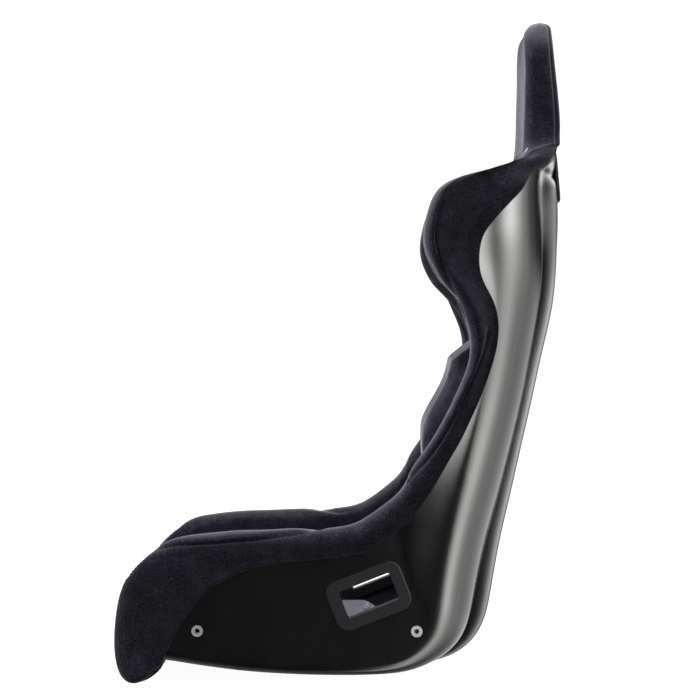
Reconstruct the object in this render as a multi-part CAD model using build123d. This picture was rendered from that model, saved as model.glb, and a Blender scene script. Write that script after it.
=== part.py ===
from build123d import *
import math
import os
from collections import namedtuple

# Fixed-back motorsport bucket seat: one moulded laminate shell with a raised rear spine, five harness
# slots with two-piece grommets, four side-mount inserts on steel plates, bonded foam-and-fabric
# padding, and two cushions held by hook-and-loop strips.
# Millimetres. +Z up, the seat faces -Y, X is the width. Origin: middle of the bounding box, on the
# level of its lowest point. The section sizes below are measured from a plane CENTRE_Y ahead of it.

# ---------------------------------------------------------------- driving dimensions
CENTRE_Y = 2.1  # moves the whole seat back to centre its bounding box
LAMINATE = 4.5  # shell wall
OUTER_GAP = 3.0  # bond line between the shell's outside and the padding's flap
INNER_GAP = 5.5  # room between the shell's inside and the padding, for the bond and the steel plates
EDGE_GAP = 3.8  # padding above the shell's front edge, whose inner corner is the higher one where it flares
HOOD_GAP = 2.8  # the same for the headrest's cover
HOOD_TOP = 14.0  # foam over the top of the headrest
CREST = 14.0  # how far the padding's leading edge stands ahead of the shell's front edge
WRAP = 2.5  # padding thickness on the outside of the shell
PAD = 12.0  # padding thickness on the inside of the shell
ROLL = 24.0  # padding thickness inside the leading edge
SWELL = 2.0  # what the flap gains towards the leading edge
NOSE_RISE = 16.0  # at the nose the inside padding stops this far above the corner
FLAP_STEPS, INSIDE_STEPS = 7, 6  # spans of a padding section along the flap and down the inside
SEAM_GAP = 0.5  # between padding pieces
BOND = 3.6  # glue and levelling foam under the flat padding
PANEL = 20.0  # height of the flat padding's face above the rim line
STRIP = 1.3  # one half of a hook-and-loop strip
STRIP_GAP = 0.4  # between the two halves when the cushions are in place
SPINE_SLOPE = 24.0  # width of the spine's rounded side
SPINE_TURN = 78.0  # degrees it turns through, from the spine's top to the groove

MOUNT_SPACING = 290.0  # between the front and rear side-mount holes
MOUNT_Y = -46.2  # middle of the side-mount pair
MOUNT_Z = 70.8
THREAD_R = 3.4  # minor radius of an M8 thread
INSERT_R = 6.0
COLLAR_R, COLLAR_T = 7.5, 1.5
PLATE_T, PLATE_H, PLATE_END = 3.0, 24.0, 22.0
PLATE_GAP = 1.3  # bond line between the shell and the plate
PLATE_R = 8.0
BUSH_FIT, PLATE_FIT = 0.05, 0.02  # room round a bush in the shell and in its plate
PAST = 5.0  # how far a cutter runs past the face it cuts

SLOT_W, SLOT_H, SLOT_R = 73.0, 38.0, 3.0  # harness opening inside a grommet
FLANGE_W, FLANGE_H, FLANGE_R, FLANGE_T = 104.5, 67.5, 16.0, 3.5
SLEEVE = 2.0  # wall of the grommet's sleeve
SLEEVE_FIT, PAD_FIT = 0.5, 1.5  # clearance round the sleeve in the shell and in the padding
FLANGE_EASE = 1.2  # rounding of the flange's outer edge
FACE_GAP = 0.3  # between a flange and the shell or padding under it
HALVES_GAP = 0.2  # between the two halves of a grommet, or between a flange and a seam
SHOULDER_SPLIT, CROTCH_SPLIT = 24.0, 10.0  # depth below the shell where the two halves of a grommet meet
LAP_Y, LAP_Z, LAP_TILT = 35.1, 117.8, 21.6  # lap slots; degrees, rising to the rear
SHOULDER_X, SHOULDER_Y, SHOULDER_Z, SHOULDER_TILT = 72.0, 286.6, 675.0, 5.0
CROTCH_Y = -130.0
FLANK_X = 205.0  # half-width over the flat sides

# A rib is a section of the seat. It starts square to the rim line and bends towards the crest.
# rim: corner line of the shell where the flank meets the base or the back (y, z)
# crest: leading edge of the padding (y, z)
# groove: half-width of the spine; flat: half-width where the corner starts; side: where it ends
# edge: half-width at the shell's front edge; corner: depth of the corner; spine: height of the spine
# hem: length of the padding's outer flap, from the crest down the flank
Rib = namedtuple("Rib", "rim crest groove flat side edge corner spine hem")
RIBS = [
    Rib((-272, 38), (-294, 120), 95, 190, 205, 205, 14, 0, 70),
    Rib((-245, 33), (-256, 175), 95, 190, 205, 205, 14, 0, 128),
    Rib((-230, 30.7), (-238, 186), 95, 190, 205, 205, 14, 0, 140),
    Rib((-215, 28.5), (-222, 193), 95, 190, 205, 205, 14, 0, 117),
    Rib((-190, 24.5), (-195, 198), 95, 190, 205, 205, 14, 0, 88),
    Rib((-160, 20.5), (-163, 201), 95, 190, 205, 205, 14, 0, 62),
    Rib((-120, 16), (-122, 203), 95, 190, 205, 205, 14, 0, 47),
    Rib((-60, 12.5), (-62, 204), 95, 190, 205, 205, 14, 0, 40),
    Rib((0, 11.5), (-8, 207), 95, 190, 205, 205, 15, 0, 38),
    Rib((50, 12.5), (22, 215), 95, 188, 205, 205, 17, 2, 40),
    Rib((88, 16), (46, 231), 95, 180, 205, 205, 22, 6, 45),
    Rib((118, 26), (62, 243), 95, 168, 205, 205, 30, 10, 45),
    Rib((142, 40), (74, 254), 96, 156, 205, 205, 38, 16, 42),
    Rib((160, 60), (82, 265), 97, 146, 205, 206, 45, 21, 42),
    Rib((171, 88), (88, 275), 98, 139, 205, 207, 49, 24, 43),
    Rib((179, 130), (94, 286), 99, 134, 205, 208, 51, 24, 42),
    Rib((192, 190), (102, 298), 100, 131, 205, 209, 51, 22, 37),
    Rib((208, 247), (113, 315), 100, 130, 205, 211, 51, 19.5, 33),
    Rib((224, 310), (128, 339), 100, 130, 205, 214, 51, 17.5, 33),
    Rib((239, 373), (145, 374), 100, 131, 206, 219, 52, 17, 36),
    Rib((250, 430), (162, 412), 100, 133, 209, 226, 53, 18, 38),
    Rib((258, 475), (169, 447), 101, 137, 213, 234, 55, 20.5, 40),
    Rib((264, 512), (161, 487), 102, 141, 218, 245, 58, 21.5, 40),
    Rib((267, 548), (138, 525), 105, 145, 223, 256, 60, 21.5, 45),
    Rib((267, 580), (115, 558), 112, 148, 227, 265, 61, 22.5, 66),
    Rib((266, 607), (107, 590), 124, 151, 229, 268, 61, 24, 82),
    Rib((264, 634), (113, 624), 138, 154, 227, 266, 58, 25, 102),
    Rib((263, 654), (126, 652), 146, 155, 221, 257, 50, 24, 110),
    Rib((264, 671), (154, 668), 148, 154, 208, 236, 40, 21.5, 92),
    Rib((266, 684), (199, 678), 146, 152, 188, 206, 28, 17.5, 66),
]
# Above the shoulders the same section goes on as the headrest, with no spine.
HEAD_RIBS = [
    Rib((280, 694), (222, 692), 146, 150, 168, 178, 24, 7, 0),
    Rib((287, 711), (234, 711), 128, 136, 150, 156, 22, 0, 0),
    Rib((287.5, 716), (238, 716), 118, 128, 144, 149, 21, 0, 0),
    Rib((288, 726), (241, 726), 104, 114, 135, 140, 21, 0, 0),
    Rib((289, 745), (243, 745), 96, 106, 129, 133, 22, 0, 0),
    Rib((287, 780), (244, 780), 92, 102, 126, 130, 22, 0, 0),
    Rib((284, 812), (244.5, 812), 88, 98, 122, 126, 20, 0, 0),
    Rib((281.5, 838), (244.5, 838), 82, 91, 115, 119, 18, 0, 0),
    Rib((280.5, 858), (244.5, 858), 70, 80, 102, 106, 16, 0, 0),
    Rib((279.5, 872), (245.5, 872), 52, 62, 82, 86, 13, 0, 0),
    Rib((279, 879), (246.5, 879), 42, 52, 70, 74, 12, 0, 0),
]
ALL_RIBS = RIBS + HEAD_RIBS
SHELL_RIBS = len(ALL_RIBS) - 1  # the last rib is above the shell, in the headrest's cover alone
HEAD_START = len(RIBS) + 2  # first rib under the headrest's cover
THIGH_END = 10  # rib where the thigh bolster meets the side bolster
SIDE_END = 21  # rib where the side bolster meets the shoulder wing
PAN_RIBS, BACK_RIBS = (1, 10), (14, 31)  # first and last rib of the flat padding
SEAT_RIBS, LUMBAR_RIBS = (1, 9), (15, 21)  # and of the two cushions
SEAT_STRIP_RIBS, LUMBAR_STRIP_RIBS = (3, 6), (17, 20)
SIDES = {"left": 1, "right": -1}

SEAT_HALF, LUMBAR_HALF = 158.0, 150.0
SEAT_FOAM, THIGH_RISE = 42.0, 30.0  # thickness at the rear, and what the wedge adds at the front
LUMBAR_FOAM, LUMBAR_TOE, LUMBAR_AHEAD = 14.0, 22.0, 19.0
STRIP_HALF, STRIP_X = 25.0, 90.0
LAP_FACE = LAMINATE + INNER_GAP + PAD  # from the flank's outside to the padding's face
SHOULDER_FACE = 46.0
SLOT_REACH = 28.0  # half-length of the prisms that open the slots in the shell
DEEP = 80.0  # the same through the padding


# ---------------------------------------------------------------- section geometry
def ease(k):
    return k * k * (3 - 2 * k)


def ramp(k, start, end):
    """0 up to start, 1 from end on, and a smooth step between them."""
    return ease(min(1.0, max(0.0, (k - start) / (end - start))))


def rim_normal(index):
    """Unit vector square to the rim line, pointing into the seat."""
    before = ALL_RIBS[max(index - 1, 0)].rim
    after = ALL_RIBS[min(index + 1, len(ALL_RIBS) - 1)].rim
    length = math.dist(before, after)
    return (before[1] - after[1]) / length, (after[0] - before[0]) / length


def depth(index):
    return math.dist(ALL_RIBS[index].rim, ALL_RIBS[index].crest)


def place(index, x, t):
    """Point at half-width x and depth t along a rib that starts square to the rim line."""
    rib = ALL_RIBS[index]
    normal = rim_normal(index)
    if t <= 0:
        return x, rib.rim[0] + normal[0] * t, rib.rim[1] + normal[1] * t
    length = depth(index)
    k = t / length
    point = []
    for axis in (0, 1):
        bend = rib.rim[axis] + normal[axis] * length / 2
        point.append((1 - k) ** 2 * rib.rim[axis] + 2 * k * (1 - k) * bend + k * k * rib.crest[axis])
    return x, point[0], point[1]


def outer_half(index):
    """Half of the shell's outer section as (x, t), from the middle to the front edge."""
    rib = ALL_RIBS[index]
    front = depth(index) - CREST
    top = rib.groove - SPINE_SLOPE
    half = [(top * k / 3, -rib.spine) for k in range(4)]
    for step in range(1, 6):
        angle = math.radians(SPINE_TURN * step / 5)
        across = math.sin(angle) / math.sin(math.radians(SPINE_TURN))
        fall = (1 - math.cos(angle)) / (1 - math.cos(math.radians(SPINE_TURN)))
        half.append((top + SPINE_SLOPE * across, -rib.spine * (1 - fall)))
    half += [(rib.groove + (rib.flat - rib.groove) * k / 2, 0) for k in (1, 2)]
    for step in range(1, 7):
        angle = math.radians(15 * step)
        across = rib.flat + (rib.side - rib.flat) * math.sin(angle)
        half.append((across, rib.corner * (1 - math.cos(angle))))
    for step in range(1, 7):
        k = step / 6
        across = rib.side + (rib.edge - rib.side) * k * k
        half.append((across, rib.corner + (front - rib.corner) * k))
    return half


def offset_half(half, distance):
    """The half section moved inwards by a distance, square to itself."""
    moved = []
    for position, (x, t) in enumerate(half):
        x0, t0 = half[max(position - 1, 0)]
        x1, t1 = half[min(position + 1, len(half) - 1)]
        length = math.dist((x0, t0), (x1, t1))
        moved.append((x - (t1 - t0) / length * distance, t + (x1 - x0) / length * distance))
    moved[0] = (0, half[0][1] + distance)
    return moved


def flank_x(index, t):
    """Outer half-width of the shell at depth t on the flank or in the corner."""
    rib = ALL_RIBS[index]
    if t < rib.corner:
        rise = 1 - max(t, 0) / rib.corner
        return rib.flat + (rib.side - rib.flat) * math.sqrt(1 - rise * rise)
    k = (t - rib.corner) / (depth(index) - CREST - rib.corner)
    return rib.side + (rib.edge - rib.side) * k * k


def mirrored(half):
    return [(-x, t) for x, t in reversed(half[1:])] + half


def grid(indexes, section):
    """Rows of points, one row per rib."""
    return [[place(index, x, t) for x, t in section(index)] for index in indexes]


# ---------------------------------------------------------------- solids from point grids
def curve(points):
    """Smooth edge through the points, numbered by the length of its chords."""
    lengths = [math.dist(p, q) for p, q in zip(points, points[1:])]
    numbers = [sum(lengths[:count]) / sum(lengths) for count in range(len(points))]
    return Edge.make_spline([Vector(point) for point in points], parameters=numbers)


def chain(points, smooth):
    return Wire([curve(points)]) if smooth else Wire.make_polygon([Vector(p) for p in points], close=False)


def between(grid_a, grid_b, smooth=False):
    """Closed solid between two grids of points that match row by row."""
    rings = []
    for row_a, row_b in zip(grid_a, grid_b):
        sides = [chain(row_a, smooth), chain([row_a[-1], row_b[-1]], False)]
        sides += [chain(row_b[::-1], smooth), chain([row_b[0], row_a[0]], False)]
        rings.append(Wire([edge for side in sides for edge in side.edges()]))
    solid = Solid.make_loft(rings, ruled=True)
    walls_only = len(rings[0].edges()) * (len(rings) - 1)
    if len(solid.faces()) == walls_only:
        faces = list(solid.faces())
        for number in (0, -1):
            ends = chain(grid_a[number], smooth), chain(grid_b[number], smooth)
            faces += Face.make_surface_from_curves(*ends).faces()
        solid = Solid(Shell(faces))
    return solid


def plate(width, height, radius, low, high):
    """Rounded rectangular plate in the XY plane, between two heights."""
    outline = Rectangle(width, height)
    outline = fillet(outline.vertices(), radius)
    return Pos(0, 0, low) * extrude(outline, amount=high - low)


def grommet(flange_low, flange_high, sleeve_low, sleeve_high):
    """Flange and sleeve round a harness opening, along +Z of the slot's own plane."""
    body = plate(FLANGE_W, FLANGE_H, FLANGE_R, flange_low, flange_high)
    rim_edges = body.edges().filter_by(Plane.XY).group_by(Axis.Z)[-1 if flange_high > sleeve_high else 0]
    body = fillet(rim_edges, FLANGE_EASE)
    body += plate(SLOT_W + 2 * SLEEVE, SLOT_H + 2 * SLEEVE, SLOT_R + SLEEVE, sleeve_low, sleeve_high)
    low, high = min(flange_low, sleeve_low) - 1, max(flange_high, sleeve_high) + 1
    return body - plate(SLOT_W, SLOT_H, SLOT_R, low, high)


def slot_cut(low, high, extra=SLEEVE_FIT):
    grow = 2 * (SLEEVE + extra)
    return plate(SLOT_W + grow, SLOT_H + grow, SLOT_R + SLEEVE + extra, low, high)


def flange_pocket(low, high):
    return plate(FLANGE_W + 2, FLANGE_H + 2, FLANGE_R + 1, low, high)


# ---------------------------------------------------------------- slot planes, each with +Z outwards
def lap_plane(side):
    along = math.radians(LAP_TILT)
    x_dir = (0, math.cos(along), math.sin(along))
    return Plane(origin=(side * FLANK_X, LAP_Y, LAP_Z), x_dir=x_dir, z_dir=(side, 0, 0))


def shoulder_plane(side):
    tilt = math.radians(SHOULDER_TILT)
    origin = (side * SHOULDER_X, SHOULDER_Y, SHOULDER_Z)
    return Plane(origin=origin, x_dir=(1, 0, 0), z_dir=(0, math.cos(tilt), math.sin(tilt)))


def crotch_plane():
    """Square to the base, which rises slightly to the front."""
    slope = (RIBS[5].rim[1] - RIBS[6].rim[1]) / (RIBS[6].rim[0] - RIBS[5].rim[0])
    height = RIBS[6].rim[1] + slope * (RIBS[6].rim[0] - CROTCH_Y)
    return Plane(origin=(0, CROTCH_Y, height), x_dir=(1, 0, 0), z_dir=(0, -slope, -1))


# ---------------------------------------------------------------- padding sections
def inside_depths(index):
    """Depths of the padding's points on the inside, from the shell's front edge down to the corner."""
    front = depth(index) - CREST
    end = ALL_RIBS[index].corner + NOSE_RISE * (1 - ramp(index, 0, 2))
    return [front - (front - end) * step / INSIDE_STEPS for step in range(INSIDE_STEPS + 1)]


def bolster_lower(index):
    """Face of the padding that lies on the shell: up the outside, over the edge and down the inside."""
    rib = ALL_RIBS[index]
    front = depth(index) - CREST
    low = depth(index) - rib.hem
    path = []
    for step in range(FLAP_STEPS + 1):
        t = low + (front - low) * step / FLAP_STEPS
        path.append((flank_x(index, t) + OUTER_GAP, t))
    path.append((rib.edge + OUTER_GAP - 1, front + EDGE_GAP))
    path.append((rib.edge - LAMINATE - 1, front + EDGE_GAP))
    for t in inside_depths(index):
        path.append((flank_x(index, t) - LAMINATE - INNER_GAP, t))
    return path


def bolster_upper(index):
    """The padding's fabric face, matching bolster_lower point by point."""
    rib = ALL_RIBS[index]
    front = depth(index) - CREST
    low = depth(index) - rib.hem
    path = []
    for step in range(FLAP_STEPS + 1):
        share = step / FLAP_STEPS
        t = low + (front - low) * share
        path.append((flank_x(index, t) + OUTER_GAP + WRAP + SWELL * ramp(share, 0.2, 1), t))
    outside = rib.edge + OUTER_GAP + WRAP
    inside = rib.edge - LAMINATE - INNER_GAP - ROLL
    path.append((outside - (outside - inside) * 0.28, depth(index)))
    path.append((outside - (outside - inside) * 0.62, depth(index)))
    for step, t in enumerate(inside_depths(index)):
        thickness = ROLL - (ROLL - PAD) * ramp(step / INSIDE_STEPS, 0.05, 0.4)
        path.append((flank_x(index, t) - LAMINATE - INNER_GAP - thickness, t))
    return path


def bolster(side, first, last):
    indexes = range(first, last + 1)

    def one_side(section):
        return lambda index: [(side * x, t) for x, t in section(index)]

    return between(grid(indexes, one_side(bolster_lower)), grid(indexes, one_side(bolster_upper)))


# ---------------------------------------------------------------- front roll and headrest cover
# Side profiles of the front roll (y, z), from its flap under the base, round the front, to its top.
# Each has one line of the face against the shell and one of the fabric face, at the sides and
# in the middle.
ROLL_SIDE_BACK = [
    (-238, 28), (-256, 30), (-274, 32), (-277, 44),
    (-280, 57), (-284, 71), (-288, 85), (-293, 103),
]
ROLL_SIDE_FRONT = [
    (-238, 22), (-254, 9), (-273, 0), (-290, 8),
    (-298, 24), (-301.5, 47), (-299.5, 75), (-297, 104),
]
ROLL_MID_BACK = [
    (-238, 28), (-256, 30), (-274, 32), (-276, 44),
    (-274, 60), (-271, 76), (-268, 94), (-266, 112),
]
ROLL_MID_FRONT = [
    (-238, 22), (-254, 11), (-273, 4), (-290, 12),
    (-299, 34), (-301.5, 62), (-298, 94), (-284, 120),
]
ROLL_HALF = 209.5
ROLL_TURN = (135.0, 170.0)  # half-widths between which the roll changes from its middle to its side form


def blended(x, share, profile_a, profile_b):
    """Row of points at half-width x, part of the way from one side profile to another."""
    row = []
    for (y0, z0), (y1, z1) in zip(profile_a, profile_b):
        row.append((x, y0 + (y1 - y0) * share, z0 + (z1 - z0) * share))
    return row


def front_roll():
    count = 20
    backs, fronts = [], []
    for number in range(count + 1):
        x = ROLL_HALF * (2 * number / count - 1)
        side = ramp(abs(x), *ROLL_TURN)
        backs.append(blended(x, side, ROLL_MID_BACK, ROLL_SIDE_BACK))
        fronts.append(blended(x, side, ROLL_MID_FRONT, ROLL_SIDE_FRONT))
    return between(backs, fronts)


def hood_lower(index):
    """Path of the headrest cover against the shell, from the middle of the back round to it."""
    outer = offset_half(outer_half(index), -HOOD_GAP)
    inner = offset_half(outer_half(index), LAMINATE + HOOD_GAP)
    lip = depth(index) - CREST + HOOD_GAP
    half = [(SEAM_GAP, outer[0][1])] + outer[1:]
    half += [(outer[-1][0], lip), (inner[-1][0], lip)] + inner[:0:-1]
    return half + [(-x, t) for x, t in reversed(half)]


def hood_upper(index):
    """The headrest cover's fabric face: thin on the back, a roll at each side, foam across the front."""
    outer = offset_half(outer_half(index), -HOOD_GAP - WRAP)
    front = depth(index)
    half = [(SEAM_GAP, outer[0][1])] + outer[1:]
    tip = half[-1][0]
    half += [(tip - 3, front - 4), (tip - 12, front)]
    inner = outer_half(index)[:0:-1]
    for x, t in inner:
        across = min(x, tip) / tip
        face = front - 9 * (1 - ramp(across, 0.3, 0.95))
        half.append((across * (tip - 24), face))
    return half + [(-x, t) for x, t in reversed(half)]


def headrest_cover():
    """The cover goes round the headrest and is closed over its top."""
    last = len(ALL_RIBS) - 1
    indexes = range(HEAD_START, last + 1)
    hood = between(grid(indexes, hood_lower), grid(indexes, hood_upper))
    rib = ALL_RIBS[last]
    middle_y = (rib.rim[0] + rib.crest[0]) / 2 + 1
    cap = plate(2 * rib.edge + 6, depth(last) + 8, 16, rib.rim[1] - 2, rib.rim[1] + HOOD_TOP)
    cap = fillet(cap.edges().filter_by(Plane.XY).group_by(Axis.Z)[-1], HOOD_TOP - 2)
    return hood + Pos(0, middle_y, 0) * cap


# ---------------------------------------------------------------- shell and side mounts
def build_shell():
    indexes = range(SHELL_RIBS)
    outside = grid(indexes, lambda index: mirrored(outer_half(index)))
    inside = grid(indexes, lambda index: mirrored(offset_half(outer_half(index), LAMINATE)))
    shell = between(outside, inside, smooth=True)
    for cutter in slot_cutters():
        shell -= cutter
    for side in SIDES.values():
        shell -= shoulder_plane(side) * flange_pocket(FACE_GAP / 2, SLOT_REACH)
        for y in mount_ys():
            shell -= along_x(side, y, MOUNT_Z, INSERT_R + BUSH_FIT, FLANK_X - 2 * PAST, FLANK_X + PAST)
            shell -= along_x(side, y, MOUNT_Z, COLLAR_R + 1, FLANK_X, FLANK_X + PAST)
    return shell


def mount_ys():
    return MOUNT_Y - MOUNT_SPACING / 2, MOUNT_Y + MOUNT_SPACING / 2


def along_x(side, y, z, radius, low, high):
    """Cylinder between two half-widths on one side of the seat."""
    middle = side * (low + high) / 2
    return Pos(middle, y, z) * Rot(0, 90, 0) * Cylinder(radius, high - low)


def slot_cutters():
    """One prism through the shell's wall for each harness slot."""
    planes = [crotch_plane()]
    for side in SIDES.values():
        planes += [lap_plane(side), shoulder_plane(side)]
    return [plane * slot_cut(-SLOT_REACH, SLOT_REACH) for plane in planes]


def insert(side, y):
    """Flanged bush with an M8 thread, modelled as its minor bore."""
    inner_end = FLANK_X - LAMINATE - PLATE_GAP - PLATE_T
    bush = along_x(side, y, MOUNT_Z, INSERT_R, inner_end, FLANK_X + COLLAR_T)
    bush += along_x(side, y, MOUNT_Z, COLLAR_R, FLANK_X + BUSH_FIT, FLANK_X + COLLAR_T)
    return bush - along_x(side, y, MOUNT_Z, THREAD_R, inner_end - 1, FLANK_X + PAST)


def mount_plate(side):
    """Steel plate bonded inside the flank, drilled for the two bushes."""
    inner = FLANK_X - LAMINATE - PLATE_GAP - PLATE_T
    length = MOUNT_SPACING + 2 * PLATE_END
    blank = plate(length, PLATE_H, PLATE_R, inner, inner + PLATE_T)
    upright = Plane(origin=(0, MOUNT_Y, MOUNT_Z), x_dir=(0, side, 0), z_dir=(side, 0, 0))
    blank = upright * blank
    for y in mount_ys():
        blank -= along_x(side, y, MOUNT_Z, INSERT_R + PLATE_FIT, inner - PAST, FLANK_X)
    return blank


# ---------------------------------------------------------------- flat padding, cushions and strips
def face_level(index):
    """Depth of the flat padding's face: thicker behind the lower back."""
    return PANEL + LUMBAR_FOAM * (ramp(index, 13, 16) - ramp(index, 21, 24))


def cushion_base(index):
    return face_level(index) + 2 * STRIP + STRIP_GAP


def padding_half(index):
    rib = ALL_RIBS[index]
    return min(rib.flat - 6, rib.side - LAMINATE - INNER_GAP - PAD - 2)


def seat_cushion_top(index):
    """The seat cushion is a wedge, thicker under the thighs."""
    return cushion_base(index) + SEAT_FOAM + THIGH_RISE * ramp(-ALL_RIBS[index].rim[0], 40, 230)


def lumbar_top(index):
    """The lumbar cushion reaches a little ahead of the side bolsters, and thins at its lower end."""
    thin = cushion_base(index) + LUMBAR_TOE
    full = depth(index) + LUMBAR_AHEAD
    return thin + (full - thin) * ramp(index, LUMBAR_RIBS[0] - 1, LUMBAR_RIBS[0] + 3)


def flat_layer(ribs, low, high, half, middle=0.0, steps=8):
    """Padding, cushion or strip between two depths; low, high and half are functions of the rib."""
    indexes = range(ribs[0], ribs[1] + 1)

    def section(level):
        def row(index):
            return [(middle + half(index) * (2 * k / steps - 1), level(index)) for k in range(steps + 1)]

        return row

    return between(grid(indexes, section(low)), grid(indexes, section(high)))


def strip_pair(ribs, lower):
    """Two parallel strips: the lower half fixed to the padding, or the upper half to the cushion."""
    rise = 0.0 if lower else STRIP + STRIP_GAP
    pair = []
    for side in (-1, 1):
        pair.append(
            flat_layer(
                ribs,
                lambda index: face_level(index) + rise,
                lambda index: face_level(index) + rise + STRIP,
                lambda index: STRIP_HALF,
                side * STRIP_X,
                1,
            )
        )
    return Compound(pair)


# ---------------------------------------------------------------- build
parts = {"shell": build_shell(), "front_roll": front_roll()}
for name, side in SIDES.items():
    parts[f"mount_plate_{name}"] = mount_plate(side)
    for place_name, y in zip(("front", "rear"), mount_ys()):
        parts[f"mount_insert_{place_name}_{name}"] = insert(side, y)
    for pad, first, last in (("thigh", 0, THIGH_END), ("side", THIGH_END, SIDE_END)):
        solid = bolster(side, first, last)
        solid -= lap_plane(side) * slot_cut(-DEEP, 2 * PAST, PAD_FIT)
        solid -= lap_plane(side) * flange_pocket(-DEEP, -LAP_FACE)
        parts[f"{pad}_bolster_{name}"] = solid
    parts[f"shoulder_wing_{name}"] = bolster(side, SIDE_END, len(RIBS) - 1)

pan = flat_layer(PAN_RIBS, lambda index: LAMINATE + BOND, face_level, padding_half)
pan -= crotch_plane() * slot_cut(-DEEP, 2 * PAST, PAD_FIT)
parts["pan_padding"] = pan - crotch_plane() * flange_pocket(-DEEP, -PANEL)
back = flat_layer(BACK_RIBS, lambda index: LAMINATE + BOND, face_level, padding_half)
for side in SIDES.values():
    back -= shoulder_plane(side) * slot_cut(-DEEP, 2 * PAST, PAD_FIT)
    back -= shoulder_plane(side) * flange_pocket(-DEEP, -SHOULDER_FACE)
parts["back_padding"] = back

cushion = flat_layer(SEAT_RIBS, cushion_base, seat_cushion_top, lambda index: SEAT_HALF)
parts["seat_cushion"] = cushion - crotch_plane() * flange_pocket(-2 * DEEP, 0)
parts["lumbar_cushion"] = flat_layer(LUMBAR_RIBS, cushion_base, lumbar_top, lambda index: LUMBAR_HALF)
parts["pan_hook_strips"] = strip_pair(SEAT_STRIP_RIBS, True)
parts["seat_loop_strips"] = strip_pair(SEAT_STRIP_RIBS, False)
parts["back_hook_strips"] = strip_pair(LUMBAR_STRIP_RIBS, True)
parts["lumbar_loop_strips"] = strip_pair(LUMBAR_STRIP_RIBS, False)
parts["headrest_cover"] = headrest_cover()

for name, side in SIDES.items():
    split = -LAMINATE - INNER_GAP
    outer = grommet(FACE_GAP, FACE_GAP + FLANGE_T, split, FACE_GAP)
    inner = grommet(-LAP_FACE - FLANGE_T, -LAP_FACE, -LAP_FACE, split - HALVES_GAP)
    parts[f"lap_grommet_outer_{name}"] = lap_plane(side) * outer
    parts[f"lap_grommet_inner_{name}"] = lap_plane(side) * inner
    rear = grommet(FACE_GAP, FACE_GAP + FLANGE_T, -SHOULDER_SPLIT, FACE_GAP)
    front = grommet(
        -SHOULDER_FACE - FLANGE_T, -SHOULDER_FACE, -SHOULDER_FACE, -SHOULDER_SPLIT - HALVES_GAP
    )
    parts[f"shoulder_grommet_rear_{name}"] = shoulder_plane(side) * rear
    parts[f"shoulder_grommet_front_{name}"] = shoulder_plane(side) * front
below = grommet(FACE_GAP, FACE_GAP + FLANGE_T, -CROTCH_SPLIT, FACE_GAP)
crotch_face = -PANEL - HALVES_GAP
above = grommet(crotch_face - FLANGE_T, crotch_face, crotch_face, -CROTCH_SPLIT - HALVES_GAP)
parts["crotch_grommet_lower"] = crotch_plane() * below
parts["crotch_grommet_upper"] = crotch_plane() * above

os.makedirs("parts", exist_ok=True)
for name, shape in parts.items():
    export_step(Pos(0, CENTRE_Y, 0) * shape, f"parts/{name}.step")
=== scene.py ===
import math

import bmesh
import bpy
import numpy as np
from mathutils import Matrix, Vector, noise


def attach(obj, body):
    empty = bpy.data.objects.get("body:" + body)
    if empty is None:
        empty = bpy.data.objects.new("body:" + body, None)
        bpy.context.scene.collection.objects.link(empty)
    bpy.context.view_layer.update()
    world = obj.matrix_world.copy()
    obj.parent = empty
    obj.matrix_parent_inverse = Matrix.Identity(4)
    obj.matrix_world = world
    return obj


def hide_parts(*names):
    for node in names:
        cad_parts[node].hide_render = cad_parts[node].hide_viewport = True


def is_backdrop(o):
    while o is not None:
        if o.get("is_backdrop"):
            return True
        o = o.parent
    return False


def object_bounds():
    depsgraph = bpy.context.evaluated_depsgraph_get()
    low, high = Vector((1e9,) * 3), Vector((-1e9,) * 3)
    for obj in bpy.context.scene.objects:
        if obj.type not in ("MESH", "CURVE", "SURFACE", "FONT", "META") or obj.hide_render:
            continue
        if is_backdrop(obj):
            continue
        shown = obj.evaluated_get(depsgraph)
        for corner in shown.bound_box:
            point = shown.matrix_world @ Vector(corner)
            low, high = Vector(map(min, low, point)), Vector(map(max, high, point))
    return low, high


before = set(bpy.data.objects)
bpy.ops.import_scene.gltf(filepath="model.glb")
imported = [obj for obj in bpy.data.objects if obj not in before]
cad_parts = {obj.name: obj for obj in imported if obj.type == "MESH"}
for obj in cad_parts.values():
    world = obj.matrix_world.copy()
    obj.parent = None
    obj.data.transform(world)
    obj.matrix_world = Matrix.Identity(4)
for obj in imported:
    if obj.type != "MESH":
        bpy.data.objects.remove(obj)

CAD_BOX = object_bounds()

# Fixed-back racing seat. Sizes in this file are in millimetres, measured as in the CAD source:
# +Z up, the seat faces -Y, X is the width. to_frame() turns them into metres in the shared frame.
MM = 0.001
CENTRE_Y = 2.1
SIDES = {"left": 1, "right": -1}

# ---------------------------------------------------------------- driving sizes
LAMINATE = 4.5
CREST = 14.0  # the roll's leading edge stands this far ahead of the shell's edge
FLAP_GAP = 0.5  # between the shell's outside and the padding's flap
FLAP = 3.0  # thickness of the flap at its hem
ROLL_OUT = 6.5  # how far the roll stands outside the shell
ROLL_IN = 34.0  # and how far inside it
PAD_IN = 22.0  # padding inside the shell, below the roll
WING_LEAN = 9.0  # under the wing the roll's inner side stands this much further ahead
SPINE_SLOPE = 24.0  # width of the side of the spine
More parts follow.
